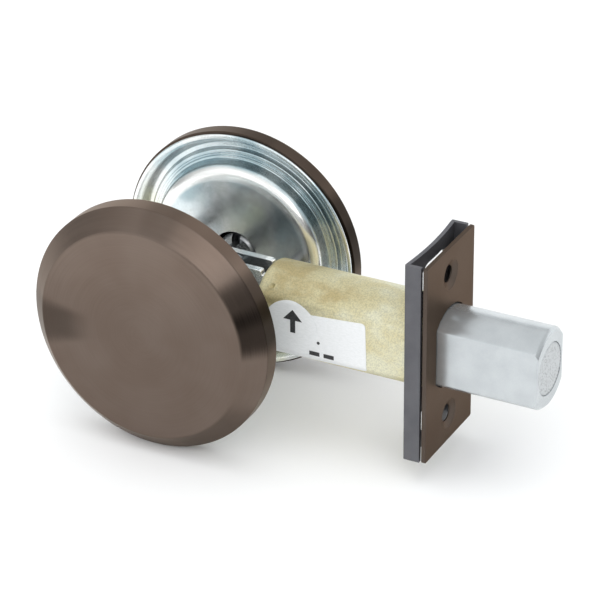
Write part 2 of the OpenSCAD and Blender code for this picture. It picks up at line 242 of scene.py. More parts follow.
def lathe(name, section, x=0.0, z=0.0, steps=192, sharp=32):
    """Turned part: a closed section of (radius, y) points, turned about the line along Y at x, z."""
    verts, rings = [], []
    for r, y in section:
        if r < 1e-6:
            rings.append([len(verts)] * steps)
            verts.append((x, y, z))
            continue
        rings.append(list(range(len(verts), len(verts) + steps)))
        for i in range(steps):
            a = 2 * math.pi * i / steps
            verts.append((x + r * math.cos(a), y, z + r * math.sin(a)))
    faces = []
    for k, ring in enumerate(rings):
        other = rings[(k + 1) % len(rings)]
        for i in range(steps):
            quad = [ring[i], ring[(i + 1) % steps], other[(i + 1) % steps], other[i]]
            corners = list(dict.fromkeys(quad))
            if len(corners) > 2:
                faces.append(corners)
    return make_mesh(name, verts, faces, sharp)


def loft(name, rings, hollow=False, sharp=32):
    """Joins rings of points. A hollow loft's last ring joins its first; otherwise both ends are capped."""
    count = len(rings[0])
    verts = [p for ring in rings for p in ring]
    faces = []
    for k in range(len(rings) if hollow else len(rings) - 1):
        a, b = k * count, ((k + 1) % len(rings)) * count
        for i in range(count):
            j = (i + 1) % count
            faces.append((a + i, a + j, b + j, b + i))
    if not hollow:
        faces.append(tuple(range(count)))
        faces.append(tuple(range(len(verts) - count, len(verts))))
    return make_mesh(name, verts, faces, sharp)


def flat_part(name, axis, outlines, low, high, edge=0.15, sharp=32):
    """Flat plate with softened edges. The first outline is its rim and the others are holes.

    axis "Y" takes (x, z) outlines and axis "X" takes (y, z) outlines; low and high are the two faces.
    """
    curve = bpy.data.curves.new(name, "CURVE")
    curve.dimensions = "2D"
    curve.fill_mode = "BOTH"
    curve.extrude = (high - low) / 2 - edge
    curve.bevel_depth = edge
    curve.bevel_resolution = 2
    curve.offset = -edge
    for outline in outlines:
        spline = curve.splines.new("POLY")
        spline.points.add(len(outline) - 1)
        spline.use_cyclic_u = True
        for point, (u, v) in zip(spline.points, outline):
            point.co = (u, v, 0, 1)
    source = add_object(name, curve)
    bpy.context.view_layer.update()
    mesh = bpy.data.meshes.new_from_object(source.evaluated_get(bpy.context.evaluated_depsgraph_get()))
    middle = (low + high) / 2
    for v in mesh.vertices:
        u, w, t = v.co
        place = (u, t + middle, w) if axis == "Y" else (t + middle, u, w)
        v.co = Vector(place) * MM
    bpy.data.objects.remove(source)
    return tidy(add_object(name, mesh), sharp)


def combine(obj, others, operation):
    """Boolean of obj with other closed meshes, which are then removed."""
    for other in others:
        step = obj.modifiers.new("combine", "BOOLEAN")
        step.operation = operation
        step.solver = "EXACT"
        step.object = other
    apply_modifiers(obj)
    for other in others:
        bpy.data.objects.remove(other)
    return tidy(obj)


def cut(obj, *cutters):
    return combine(obj, cutters, "DIFFERENCE")


def fuse(obj, *others):
    return combine(obj, others, "UNION")


def gather(name, parts):
    """Several meshes as one object."""
    bm = bmesh.new()
    for part in parts:
        bm.from_mesh(part.data)
    mesh = bpy.data.meshes.new(name)
    bm.to_mesh(mesh)
    bm.free()
    for part in parts:
        bpy.data.objects.remove(part)
    return tidy(add_object(name, mesh))


def soften(obj, width=0.15, segments=2, angle=35):
    """Rounds the sharp edges of a mesh."""
    step = obj.modifiers.new("soften", "BEVEL")
    step.width = width * MM
    step.segments = segments
    step.limit_method = "ANGLE"
    step.angle_limit = math.radians(angle)
    step.use_clamp_overlap = True
    apply_modifiers(obj)
    return tidy(obj)


def even_normals(obj):
    """Shades large faces flat right up to their rounded edges."""
    step = obj.modifiers.new("normals", "WEIGHTED_NORMAL")
    step.keep_sharp = True
    step.weight = 100
    return apply_modifiers(obj)


def rod_y(name, x, z, r, y0, y1, edge=0.15, steps=96):
    """Cylinder along Y with softened ends."""
    return lathe(name, rounded([(0, y0, 0), (r, y0, edge), (r, y1, edge), (0, y1, 0)], 3), x, z, steps)


def box_part(name, low, high):
    """Plain block, for cutting."""
    corners = [(x, y, z) for x in (low[0], high[0]) for y in (low[1], high[1]) for z in (low[2], high[2])]
    faces = [(0, 1, 3, 2), (4, 6, 7, 5), (0, 4, 5, 1), (2, 3, 7, 6), (0, 2, 6, 4), (1, 5, 7, 3)]
    return make_mesh(name, corners, faces)


# ---- materials

NEAR_AXIS = 0.0005               # in metres, the least radius that a direction is divided by


class Nodes:
    """A node tree. Methods add nodes and return output sockets."""

    def __init__(self, tree):
        self.tree = tree

    def node(self, kind, **settings):
        made = self.tree.nodes.new(kind)
        for key, value in settings.items():
            setattr(made, key, value)
        return made

    def feed(self, socket, value):
        """Links an output socket, or sets a plain value."""
        if isinstance(value, bpy.types.NodeSocket):
            self.tree.links.new(value, socket)
        else:
            socket.default_value = value

    def place(self):
        """Position in the row frame, in metres."""
        return self.node("ShaderNodeTexCoord").outputs["Object"]

    def maths(self, operation, a, b=0.0):
        n = self.node("ShaderNodeMath", operation=operation)
        self.feed(n.inputs[0], a)
        self.feed(n.inputs[1], b)
        return n.outputs[0]

    def dot(self, parts, weights):
        """Sum of each part times its weight."""
        total = self.maths("MULTIPLY", parts[0], weights[0])
        for part, weight in zip(parts[1:], weights[1:]):
            total = self.maths("ADD", total, self.maths("MULTIPLY", part, weight))
        return total

    def span(self, value, low, high, kind="LINEAR"):
        """0 at low, 1 at high."""
        n = self.node("ShaderNodeMapRange", interpolation_type=kind)
        self.feed(n.inputs["Value"], value)
        n.inputs["From Min"].default_value = low
        n.inputs["From Max"].default_value = high
        return n.outputs[0]

    def split(self, vector):
        n = self.node("ShaderNodeSeparateXYZ")
        self.feed(n.inputs[0], vector)
        return n.outputs

    def join(self, x, y, z):
        n = self.node("ShaderNodeCombineXYZ")
        for socket, value in zip(n.inputs, (x, y, z)):
            self.feed(socket, value)
        return n.outputs[0]

    def scaled(self, vector, scale):
        n = self.node("ShaderNodeMapping")
        self.feed(n.inputs["Vector"], vector)
        n.inputs["Scale"].default_value = scale
        return n.outputs[0]

    def noise(self, vector, scale, detail=3.0, roughness=0.5):
        n = self.node("ShaderNodeTexNoise")
        self.feed(n.inputs["Vector"], vector)
        n.inputs["Scale"].default_value = scale
        n.inputs["Detail"].default_value = detail
        n.inputs["Roughness"].default_value = roughness
        return n.outputs["Fac"]

    def ramp(self, value, *stops, smooth=True):
        """Colour ramp from (position, colour) stops; a number stands for a grey."""
        n = self.node("ShaderNodeValToRGB")
        n.color_ramp.interpolation = "EASE" if smooth else "LINEAR"
        self.feed(n.inputs[0], value)
        elements = n.color_ramp.elements
        while len(elements) < len(stops):
            elements.new(0.5)
        for element, (position, colour) in zip(elements, stops):
            element.position = position
            element.color = (*colour, 1) if isinstance(colour, tuple) else (colour, colour, colour, 1)
        return n.outputs["Color"]

    def mix(self, amount, a, b, blend="MIX"):
        n = self.node("ShaderNodeMix", data_type="RGBA", blend_type=blend)
        self.feed(n.inputs["Factor"], amount)
        colours = [s for s in n.inputs if s.type == "RGBA"]
        for socket, value in zip(colours, (a, b)):
            self.feed(socket, (*value, 1) if isinstance(value, tuple) else value)
        return [s for s in n.outputs if s.type == "RGBA"][0]

    def bump(self, height, strength, distance):
        n = self.node("ShaderNodeBump")
        n.inputs["Strength"].default_value = strength
        n.inputs["Distance"].default_value = distance
        self.feed(n.inputs["Height"], height)
        return n.outputs[0]

    def radius(self, x, z):
        return self.maths("POWER", self.dot((x, z), (x, z)), 0.5)

    def toward(self, x, z, heading):
        """1 where the direction (x, z) from the Y axis has that heading in degrees, -1 opposite."""
        a = math.radians(heading)
        along = self.dot((x, z), (math.cos(a), math.sin(a)))
        return self.maths("DIVIDE", along, self.maths("MAXIMUM", self.radius(x, z), NEAR_AXIS))


class Paint(Nodes):
    """A material with a Principled shader."""

    def __init__(self, name, **constants):
        self.material = bpy.data.materials.new(name)
        self.material.use_nodes = True
        super().__init__(self.material.node_tree)
        self.bsdf = self.tree.nodes["Principled BSDF"]
        for socket, value in constants.items():
            self.bsdf.inputs[socket.replace("_", " ")].default_value = value

    def set(self, socket, value):
        self.feed(self.bsdf.inputs[socket], value)

    def surface(self, colour, grain, roughness, strength, distance):
        """Sets the colour, and one grain for the roughness and the fine relief."""
        self.set("Base Color", colour)
        self.set("Roughness", self.ramp(grain, (0.3, roughness[0]), (0.7, roughness[1])))
        self.set("Normal", self.bump(grain, strength, distance))
        return self.material


def turned_place(p):
    """Coordinates that run round the Y axis, so that noise in them looks spun; also radius, x, y and z."""
    x, y, z = p.split(p.place())
    radius = p.radius(x, z)
    safe = p.maths("MAXIMUM", radius, NEAR_AXIS)
    spun = p.join(p.maths("DIVIDE", x, safe), p.maths("MULTIPLY", radius, 2600.0), p.maths("DIVIDE", z, safe))
    return spun, radius, x, y, z


def bronze_material(name, spun):
    """Brushed dark bronze: spun about the Y axis, with painted reflections and painted wall shade, or brushed
    along one direction.
    """
    edge_tint = (0.90, 0.85, 0.80, 1) if spun else (0.72, 0.62, 0.55, 1)
    p = Paint(name, Metallic=1.0, Roughness=0.36, Specular_Tint=edge_tint)
    place = p.place()
    cloud = p.noise(place, 60.0, 2.0)
    if spun:
        lines, radius, x, y, z = turned_place(p)
        p.bsdf.inputs["Anisotropic"].default_value = 0.5
        tangent = p.node("ShaderNodeTangent", direction_type="RADIAL", axis="Y")
        p.set("Tangent", tangent.outputs[0])
        streaks = p.noise(lines, 1.0, 3.0, 0.6)
        colour = p.ramp(cloud, (0.3, (0.156, 0.117, 0.095)), (0.7, (0.174, 0.134, 0.111)))
        # painted reflections: lighter and darker sectors painted into the spun bronze
        colour = painted_spun_reflections(p, colour, x, z, radius, streaks)
        top = (DOOR_Y + WALL_H) * MM
        past_wall = p.span(p.maths("ABSOLUTE", y), top - 0.4 * MM, top + 0.1 * MM)
        depth = p.maths("ADD", p.maths("MULTIPLY", y, 10.0), 0.5)
        painted_wall_shade = p.ramp(depth, (0.45, (1.0, 0.96, 0.92)), (0.55, (0.48, 0.46, 0.44)))
        painted_shade_wall_colour = p.mix(1.0, colour, painted_wall_shade, "MULTIPLY")    # painted shade: the straight walls are darkened, the inside rose's most
        colour = p.mix(past_wall, painted_shade_wall_colour, colour)
    else:
        streaks = p.noise(p.scaled(place, (9000, 9000, 700)), 1.0, 3.0, 0.6)
        colour = p.ramp(cloud, (0.3, (0.096, 0.074, 0.061)), (0.7, (0.110, 0.087, 0.073)))
    colour = p.mix(0.20, colour, p.ramp(streaks, (0.3, 0.62), (0.7, 1.0)), "MULTIPLY")
    p.set("Base Color", colour)
    p.set("Roughness", p.ramp(streaks, (0.2, 0.33), (0.8, 0.43)))
    p.set("Normal", p.bump(streaks, 0.12, 0.00002))
    return p.material


def painted_spun_reflections(p, colour, x, z, radius, streaks):
    """Painted reflections: darker and lighter sectors painted into the colour, as a spun disc shows them in
    the light it reflects.

    Each is (heading in degrees, width, tone, radius where it starts, radius where it is full); the
    radii are shares of the face's radius.
    """
    bevel = (0.985, 1.02)
    sectors = (
        (184.0, 0.016, 0.54, 0.45, 0.8),
        (100.0, 0.35, 1.18, 0.1, 0.9),
        (13.0, 0.014, 0.24, *bevel),
        (28.0, 0.014, 0.42, *bevel),
        (54.0, 0.040, 1.20, *bevel),
        (82.0, 0.008, 0.86, *bevel),
        (-52.0, 0.050, 0.68, *bevel),
    )
    for heading, width, tone, start, full in sectors:
        waver = p.maths("MULTIPLY", p.maths("SUBTRACT", streaks, 0.5), width)
        nearness = p.maths("ADD", p.toward(x, z, heading), waver)
        sector = p.ramp(nearness, (1 - 2.2 * width, 0.0), (1 - 0.3 * width, 1.0))
        ring = p.span(radius, start * FACE_R * MM, full * FACE_R * MM, "SMOOTHSTEP")
        amount = p.maths("MULTIPLY", sector, ring)
        colour = p.mix(amount, colour, p.mix(1.0, colour, (tone, tone, tone), "MULTIPLY"))
    return colour


def zinc_material(name):
    """Zinc plate with soft teal, grey and straw patches and fine speckle, with a painted highlight on the
    shoulder and painted shade on the middle and in the groove.
    """
    p = Paint(name, Metallic=0.92)
    place = p.place()
    patch = p.noise(p.scaled(place, (1.0, 0.5, 1.0)), 52.0, 2.0, 0.45)
    colour = p.ramp(patch, (0.32, (0.50, 0.62, 0.66)), (0.43, (0.82, 0.90, 0.92)), (0.52, (0.97, 0.99, 0.98)),
                    (0.64, (0.96, 0.97, 0.84)), (0.76, (0.66, 0.74, 0.77)))
    grain = p.noise(place, 2400.0, 2.0, 0.6)
    colour = p.mix(0.35, colour, p.ramp(grain, (0.35, 0.66), (0.55, 1.0)), "MULTIPLY")
    _, radius, x, _, _ = turned_place(p)
    radius = p.maths("MULTIPLY", radius, 20.0)             # 1 stands for 50 mm
    # painted highlight: a near-white band on the raised middle's rounded shoulder
    shoulder = p.ramp(radius, (0.430, 0.0), (0.455, 1.0), (0.500, 1.0), (0.515, 0.0))
    colour = p.mix(shoulder, colour, (1.0, 1.0, 0.98))
    # painted shade: the raised middle darkened, fading out towards -X
    across = p.ramp(p.maths("ADD", p.maths("MULTIPLY", x, 20.0), 0.5), (0.16, 0.0), (0.40, 1.0))
    middle = p.mix(across, (1.0, 1.0, 1.0), p.ramp(radius, (0.425, 0.66), (0.445, 1.0)))
    # painted shade: a dark ring in the groove inside the lip
    groove = p.ramp(radius, (0.610, 1.0), (0.624, 0.40), (0.640, 0.40), (0.652, 1.0))
    for tone in (middle, groove):                          # painted shade: the middle darkened, and a dark ring inside the lip
        colour = p.mix(1.0, colour, tone, "MULTIPLY")
    p.set("Base Color", colour)
    p.set("Roughness", p.ramp(p.noise(place, 300.0, 3.0), (0.3, 0.17), (0.7, 0.27)))
    p.set("Normal", p.bump(grain, 0.30, 0.00003))
    return p.material


def steel_material(name):
    """Plain machined steel."""
    p = Paint(name, Metallic=1.0)
    place = p.place()
    colour = p.ramp(p.noise(place, 250.0, 3.0), (0.3, (0.315, 0.3225, 0.33)), (0.7, (0.42, 0.43, 0.44)))
    return p.surface(colour, p.noise(place, 4000.0, 2.0), (0.26, 0.42), 0.2, 0.00002)


def yellow_zinc_material(name):
    """Pale yellow zinc, more olive towards the tail, with fine grain."""
    p = Paint(name, Metallic=0.9)
    place = p.place()
    along = p.span(p.split(place)[0], sleeve_low.x * MM, sleeve_high.x * MM)
    cloud = p.maths("ADD", p.noise(p.scaled(place, (1.0, 1.6, 1.6)), 80.0, 3.0, 0.55),
                    p.maths("MULTIPLY", p.maths("SUBTRACT", along, 0.5), 0.22))
    colour = p.ramp(cloud, (0.28, (0.64, 0.54, 0.30)), (0.48, (0.77, 0.71, 0.46)), (0.72, (0.84, 0.82, 0.63)))
    grain = p.noise(place, 2200.0, 3.0, 0.7)
    colour = p.mix(0.55, colour, p.ramp(grain, (0.35, 0.58), (0.62, 1.0)), "MULTIPLY")
    return p.surface(colour, grain, (0.50, 0.64), 0.6, 0.00005)


def bolt_material(name):
    """Satin silver plating with a faint cloudiness."""
    p = Paint(name, Metallic=0.72)
    place = p.place()
    cloud = p.noise(place, 130.0, 3.0)
    colour = p.ramp(cloud, (0.3, (0.51, 0.54, 0.555)), (0.7, (0.58, 0.61, 0.625)))
    grain = p.noise(place, 2600.0, 2.0, 0.6)
    colour = p.mix(0.14, colour, p.ramp(grain, (0.3, 0.72), (0.7, 1.0)), "MULTIPLY")
    return p.surface(colour, grain, (0.21, 0.27), 0.06, 0.00002)


def insert_material(name):
    """Coarse grey core let into the bolt's end."""
    p = Paint(name, Metallic=0.9)
    grain = p.noise(p.place(), 1900.0, 3.0, 0.7)
    colour = p.ramp(grain, (0.34, (0.24, 0.25, 0.26)), (0.50, (0.56, 0.58, 0.59)))
    return p.surface(colour, grain, (0.30, 0.45), 0.6, 0.00007)


def channel_material(name):
    """Dull grey coated steel."""
    p = Paint(name, Metallic=0.35)
    place = p.place()
    colour = p.ramp(p.noise(place, 180.0, 3.0), (0.3, (0.088, 0.088, 0.098)), (0.7, (0.108, 0.108, 0.118)))
    return p.surface(colour, p.noise(place, 3000.0, 3.0, 0.6), (0.40, 0.56), 0.25, 0.00003)


def paper_material(name):
    """White label stock with a soft sheen."""
    p = Paint(name, Metallic=0.0)
    fibres = p.noise(p.scaled(p.place(), (1.0, 1.0, 2.5)), 900.0, 4.0, 0.6)
    colour = p.ramp(fibres, (0.3, (0.72, 0.735, 0.74)), (0.7, (0.78, 0.79, 0.80)))
    return p.surface(colour, fibres, (0.42, 0.55), 0.15, 0.00003)


def ink_material(name):
    """Black print with a slightly broken surface."""
    p = Paint(name, Metallic=0.0)
    specks = p.noise(p.place(), 3000.0, 3.0, 0.7)
    p.set("Base Color", p.ramp(specks, (0.35, (0.012, 0.012, 0.013)), (0.75, (0.045, 0.045, 0.048))))
    p.set("Roughness", p.ramp(specks, (0.3, 0.45), (0.7, 0.65)))
    return p.material


# each look, with the record slot of its pieces
MATERIALS = {
    "spun_bronze": (bronze_material("spun_bronze", True), "dark_bronze"),
    "brushed_bronze": (bronze_material("brushed_bronze", False), "dark_bronze"),
    "zinc": (zinc_material("zinc"), "zinc_plate"),
    "steel": (steel_material("steel"), "hardware_steel"),
    "yellow_zinc": (yellow_zinc_material("yellow_zinc"), "yellow_zinc"),
    "bolt": (bolt_material("bolt_silver"), "satin_chrome"),
    "insert": (insert_material("hard_core"), "hardware_steel"),
    "channel": (channel_material("channel_grey"), "channel_steel"),
    "paper": (paper_material("label_paper"), "label_paper"),
    "ink": (ink_material("label_ink"), "label_paper"),
}


def finish_piece(obj, look, body, *nodes, slot=None):
    """Gives a piece its material and body, and hides the CAD nodes it stands for."""
    material, usual_slot = MATERIALS[look]
    even_normals(obj)
    obj.data.materials.clear()
    obj.data.materials.append(material)
    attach(obj, body)
    if nodes:
        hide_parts(*nodes)


# ---- plates

def shell_section(rim, hole_r, top):
    """Half section of a bevelled shell: wall, bevel and face, with the rim at y = rim."""
    inner = SHELL_T * math.tan(math.radians(22.5))
    shoulder = WALL_H + BEVEL
    steps = 10
    dome = []
    for i in range(1, steps + 1):
        r = FACE_R + (hole_r - FACE_R) * i / steps
        dome.append((r, shoulder + (top - shoulder) * (1 - (r / FACE_R) ** 2), 0))
    return rounded([
        (PLATE_R, rim, 0.25), (PLATE_R, WALL_H, 0.55), (FACE_R, shoulder, 1.2), *dome,
        (hole_r, shoulder - SHELL_T, 0), (FACE_R - inner, shoulder - SHELL_T, 0.6),
        (PLATE_R - SHELL_T, WALL_H - inner, 0.4), (PLATE_R - SHELL_T, rim, 0.25)])


def pressed_section(lip_r, hole_r, lift):
    """Half section of a pressed plate, from its rolled lip to the raised middle."""
    t = LINER_T
    rise = DOOR_Y - PILOT_Y
    front = [
        (lip_r, lift, 0.42), (33.2, lift, 0.6), (32.5, lift + 0.95, 0.25), (32.1, 1.6 + lift * 0.5, 0.2),
        (30.9, 3.75, 0.5), (29.55, 3.75, 0.35), (28.95, 2.45, 0.35), (28.1, 2.4, 0.15), (27.95, 2.62, 0.12),
        (27.5, 2.62, 0.12), (27.3, 2.2, 0.15), (26.7, 2.15, 0.3), (26.1, 0.5, 0.4), (25.35, -rise, 3.3),
        (hole_r, -rise, 0.2 * (hole_r > 0))]
    back = [
        (hole_r, t - rise, 0.15 * (hole_r > 0)), (24.2, t - rise, 0.9), (25.4, 3.3, 0.4), (28.2, 3.6, 0.4),
        (28.7, 3.75 + t, 0.4), (31.7, 3.75 + t, 0.5), (33.6, lift + 0.9, 0.4), (lip_r, lift + 0.9, 0.42)]
    return rounded(front + back, 7)


def both_sides(section, side):
    """Moves a section's depths from the door's face to the row frame; side is -1 outside, 1 inside."""
    return [(r, side * (DOOR_Y + y)) for r, y in section]


def build_plates():
    """The two bevelled bronze shells and the pressed plate inside each."""
    top = -plate_low.y - DOOR_Y
    shell = lathe("outside_plate_shell", both_sides(shell_section(0, 0, top), -1), steps=256, sharp=40)
    finish_piece(shell, "spun_bronze", "lock_case", "outside_plate")

    rim = rose_low.y - DOOR_Y
    rose = lathe("inside_rose_shell", both_sides(shell_section(rim, SHANK_HOLE_R, rose_high.y - DOOR_Y), 1),
                 steps=256, sharp=40)
    finish_piece(rose, "spun_bronze", "lock_case", "inside_rose")

    liner = lathe("inside_mounting_plate_pressed",
                  both_sides(pressed_section(liner_high.x, CENTRE_HOLE_R, 0), 1), steps=256)
    off_seam = 0.004                                       # keeps the holes' corners off the lathe's seam
    holes = [rod_y("hole", side * SCREW_X, off_seam, SCREW_HOLE_R, DOOR_Y - 6, DOOR_Y + 6, 0.1)
             for side in (-1, 1)]
    cut(liner, *holes)
    finish_piece(liner, "zinc", "lock_case", "inside_mounting_plate")

    lift = 0.5                                             # keeps this lip inside the shell's rim
    section = both_sides(pressed_section(anchor_high.x, 0, lift), -1)
    anchor = lathe("outside_anchor_plate_pressed", section, steps=256)
    finish_piece(anchor, "zinc", "lock_case", "outside_anchor_plate")


def build_hardware():
    """Tapped posts on the outside and the screws that reach them from inside."""
    posts = []
    for side in (-1, 1):
        y_head, y_end = post_low.y, post_high.y
        posts.append(lathe("post", rounded([
            (0, y_head, 0), (4.5, y_head, 0.4), (4.5, y_head + 1.45, 0.1), (3.2, y_head + 1.45, 0),
            (3.2, y_end, 0.35), (2.4, y_end, 0.2), (2.35, y_end - 13, 0), (0, y_end - 14, 0)], 4),
            side * SCREW_X, 0, 96))
    pair = gather("anchor_posts_tapped", posts)
    finish_piece(pair, "steel", "lock_case", "anchor_posts")

    screws = []
    for side in (-1, 1):
        x = side * SCREW_X
        y_head = screw_high.y
        shank = [(0, screw_low.y, 0), (1.7, screw_low.y, 0.2), (2.0, screw_low.y + 0.8, 0)]
        pitch = 0.8
        turns = 22
        for i in range(turns):                      # thread ridges
            y = screw_low.y + 1.2 + i * pitch
            shank += [(1.95, y, 0), (2.28, y + pitch / 2, 0)]
        screw = lathe("screw", rounded(shank + [
            (2.2, y_head - 12, 0.1), (2.2, y_head - 2.3, 0.1), (4.4, y_head - 2.3, 0.15),
            (4.4, y_head - 1.6, 0.5), (3.2, y_head - 0.1, 0.8), (0, y_head, 0)], 4), x, 0, 72)
        cross = [box_part("slot", (x - u, y_head - 1.1, -w), (x + u, y_head + 1, w))
                 for u, w in ((2.6, 0.55), (0.55, 2.6))]
        cut(screw, *cross)
        screws.append(screw)
    pair = gather("mounting_screws_threaded", screws)
    finish_piece(pair, "steel", "lock_case", "mounting_screws")


def build_thumbturn():
    """Collar, shank and a waisted finger grip."""
    back = DOOR_Y + WALL_H + BEVEL + 0.45
    shank_end = grip_low.y
    collar = lathe("thumbturn_grip", rounded([
        (0, shank_end + 3.2, 0), (4.05, shank_end + 3.2, 0), (4.05, shank_end, 0.2), (8, shank_end, 0.3),
        (8, shank_end + 1.9, 0.1), (7.2, shank_end + 1.9, 0.1), (7.2, shank_end + 3.0, 0.1),
        (8, shank_end + 3.0, 0.1), (8, back, 0.1), (13.7, back, 0.3), (13.7, back + 1.9, 0.9),
        (11.6, back + 2.6, 1.2), (8.6, back + 4.4, 1.5), (0, back + 4.6, 0)], 6), steps=192)
    length, height = grip_high.x, grip_high.y
    waist_l, waist_w, full_w, crown = 8.3, 4.1, 4.5, 3.0
    rings = []
    levels = 40
    start = back + 2.4
    for k in range(levels + 1):
        t = k / levels
        y = start + (height - start) * t
        spread = 1 / (1 + math.exp(-(t - 0.30) * 22))
        half_l = waist_l + (length - waist_l) * spread
        half_w = waist_w + (full_w - waist_w) * spread
        top = max(0.0, (y - (height - crown)) / crown)   # the crown rounds over
        inset = crown * (1 - math.sqrt(max(0.0, 1 - top * top)))
        half_l -= inset
        half_w -= min(inset * 0.75, full_w - 0.6)
        reach = half_l - half_w
        rings.append([Vector((x, y, z)) for x, z in bar((-reach, 0), (reach, 0), half_w, half_w, 24)])
    paddle = loft("paddle", rings, sharp=50)
    fuse(collar, paddle)
    finish_piece(collar, "brushed_bronze", "turn_piece", "thumbturn")


def build_drive():
    """Hub and tailpiece in the shank, and the open ring and waved washer that hold it."""
    shank_end = grip_low.y
    hub = lathe("drive_hub_turned", rounded([
        (0, hub_low.y, 0), (4.8, hub_low.y, 0.2), (5.7, hub_low.y + 0.9, 0.2), (5.7, shank_end - 0.05, 0.2),
        (4, shank_end - 0.05, 0), (4, hub_high.y, 0.3), (0, hub_high.y, 0)], 4), steps=128)
    cut(hub, box_part("slot", (-1.25, hub_low.y - 1, -5.8), (1.25, hub_low.y + 3.9, 5.8)))
    finish_piece(hub, "steel", "turn_piece", "drive_hub", slot="zinc_plate")

    outline = rounded([
        (blade_low.y, blade_low.z, 0.8), (blade_high.y, blade_low.z, 0.3),
        (blade_high.y, blade_high.z, 0.3), (blade_low.y, blade_high.z, 0.8)])
    blade = flat_part("tailpiece_blade", "X", [outline], blade_low.x, blade_high.x, 0.2)
    finish_piece(blade, "steel", "turn_piece", "tailpiece")

    gap = math.radians(24)
    outer, inner = clip_high.z, 7.25
    arc = [(-math.pi / 2) + gap + (2 * math.pi - 2 * gap) * i / 90 for i in range(91)]
    outline = ([Vector((outer * math.cos(a), outer * math.sin(a))) for a in arc]
               + [Vector((inner * math.cos(a), inner * math.sin(a))) for a in reversed(arc)])
    ring = flat_part("retaining_ring_open", "Y", [outline], clip_low.y, clip_high.y, 0.15)
    finish_piece(ring, "steel", "turn_piece", "retaining_ring")

    rings = []
    for i in range(120):                                 # washer with three gentle waves
        a = 2 * math.pi * i / 120
        middle = (washer_low.y + washer_high.y) / 2 + 0.12 * math.cos(3 * a)
        rings.append([Vector((r * math.cos(a), middle + h, r * math.sin(a)))
                      for r, h in ((8.3, -0.12), (10.8, -0.12), (10.8, 0.12), (8.3, 0.12))])
    washer = loft("wave_washer_spring", rings, hollow=True)
    finish_piece(washer, "steel", "turn_piece", "wave_washer")


# ---- latch

def sleeve_ring(x, inset=0.0):
    edge = max(0.4, SLEEVE_EDGE - inset)
    return at_x(x, flatted(SLEEVE_R - inset, SLEEVE_HALF - inset, edge, 96, 12, 8))


def build_sleeve():
    """Drawn tube with two flats, its rear edge rolled in, and one small stake mark."""
    rear, front = sleeve_low.x, sleeve_high.x
    roll = 1.5
    rings = []
    for i in range(9):                                    # rolled rear edge
        a = math.pi / 2 * i / 8
        inset = roll * (1 - math.sin(a))
        rings.append(sleeve_ring(rear + roll * (1 - math.cos(a)), inset))
    x = rear + roll
    while x < front - 0.2:                                # fine rings near the stake mark, then coarse
        x += 0.2 if x < rear + 7 else 1.5
        rings.append(sleeve_ring(min(x, front)))
    rings += [sleeve_ring(front, SLEEVE_T), sleeve_ring(rear + 2.5, SLEEVE_T),
              sleeve_ring(rear + 0.3, SLEEVE_T + 0.4), sleeve_ring(rear + 0.02, roll + 0.02)]
    # the stake mark: a small dent on the outer shoulder
    mark = Vector((rear + 4.1, -7.6, 9.4))
    for ring in rings[9:-4]:
        for point in ring:
            gap = (point - mark).length
            if gap < 1.3:
                inward = Vector((0, -point.y, -point.z)).normalized()
                dent = 0.8 * math.exp(-(gap / 0.5) ** 2)
                lip = 0.14 * math.exp(-((gap - 0.9) / 0.2) ** 2)
                point += inward * (dent - lip)
    sleeve = loft("latch_sleeve_tube", rings, hollow=True)
    finish_piece(sleeve, "yellow_zinc", "lock_case", "latch_sleeve")


def build_cheeks():
    """Two side plates with flanges, held apart by shouldered rivets, and the detent leaf."""
    inner, outer = 2.25, 4.25
    rear, front = cheek_low.x, cheek_high.x
    high = 11.4
    step = front - 3.6
    rivet_at = ((-8.5, 8.0), (10.0, 8.2))
    for side, name in ((-1, "outer_cheek_plate"), (1, "inner_cheek_plate")):
        outline = rounded([
            (rear, -high + 3, 2), (rear + 3, -high, 2), (step, -high, 0.8), (step, -9.8, 0.3),
            (front, -9.8, 0.2), (front, 9.8, 0.2), (step, 9.8, 0.3), (step, high - 0.3, 0.8),
            (rear + 3, high, 2), (rear, high - 3, 2)])
        y0, y1 = sorted((side * inner, side * outer))
        plate = flat_part(name + "_body", "Y", [
            outline, circle(0, 0, 5.05), circle(SCREW_X, 0, 3.7, 48),
            *(circle(x, z, 1.62, 32) for x, z in rivet_at)], y0, y1, 0.2)
        inset = SLEEVE_T + 0.12
        half_disc = [(y, z) for y, z in flatted(SLEEVE_R - inset, SLEEVE_HALF - inset, 0.8) if y * side > 0.6]
        half_disc.sort(key=lambda p: math.atan2(p[1], p[0] * side))
        half_disc = [(side * 0.06, half_disc[0][1])] + half_disc + [(side * 0.06, half_disc[-1][1])]
        if side > 0:
            half_disc.reverse()
        flange = flat_part("flange", "X", [[Vector(p) for p in half_disc]], front - 1.5, front, 0.15)
        fuse(plate, flange)
        cut(plate, box_part("way", (front - 4, -1.2, -12), (front + 1, 1.2, -6.5)))
        finish_piece(plate, "zinc", "lock_case", name)

    rivets = []
    half_rivet = [(2.4, inner - 0.02, 0.1), (1.6, inner - 0.02, 0), (1.6, outer + 0.02, 0),
                  (2.4, outer + 0.02, 0.05), (1.9, rivet_high.y, 0.4), (0, rivet_high.y, 0)]
    section = [(r, -y, edge) for r, y, edge in reversed(half_rivet)] + half_rivet
    for x, z in rivet_at:
        rivets.append(lathe("rivet", rounded(section, 4), x, z, 64))
    pair = gather("cheek_rivets_shouldered", rivets)
    finish_piece(pair, "steel", "lock_case", "cheek_rivets")

    bend = rounded([(-10.7, 9.9, 0), (-8.5, 10.6, 1.0), (-5.6, 9.6, 1.0), (-2.2, 5.96, 1.2),
                    (2.2, 5.96, 1.2), (7.1, 9.8, 1.0), (10, 10.8, 1.0), (12.2, 10.1, 0)][::-1], 6)
    strip = ((-1.8, 0), (1.8, 0), (1.8, 0.38), (-1.8, 0.38))
    rings = [[Vector((x, y, z + h)) for y, h in strip] for x, z in bend]
    leaf = loft("detent_spring_leaf", rings, sharp=40)
    finish_piece(leaf, "steel", "lock_case", "detent_spring")


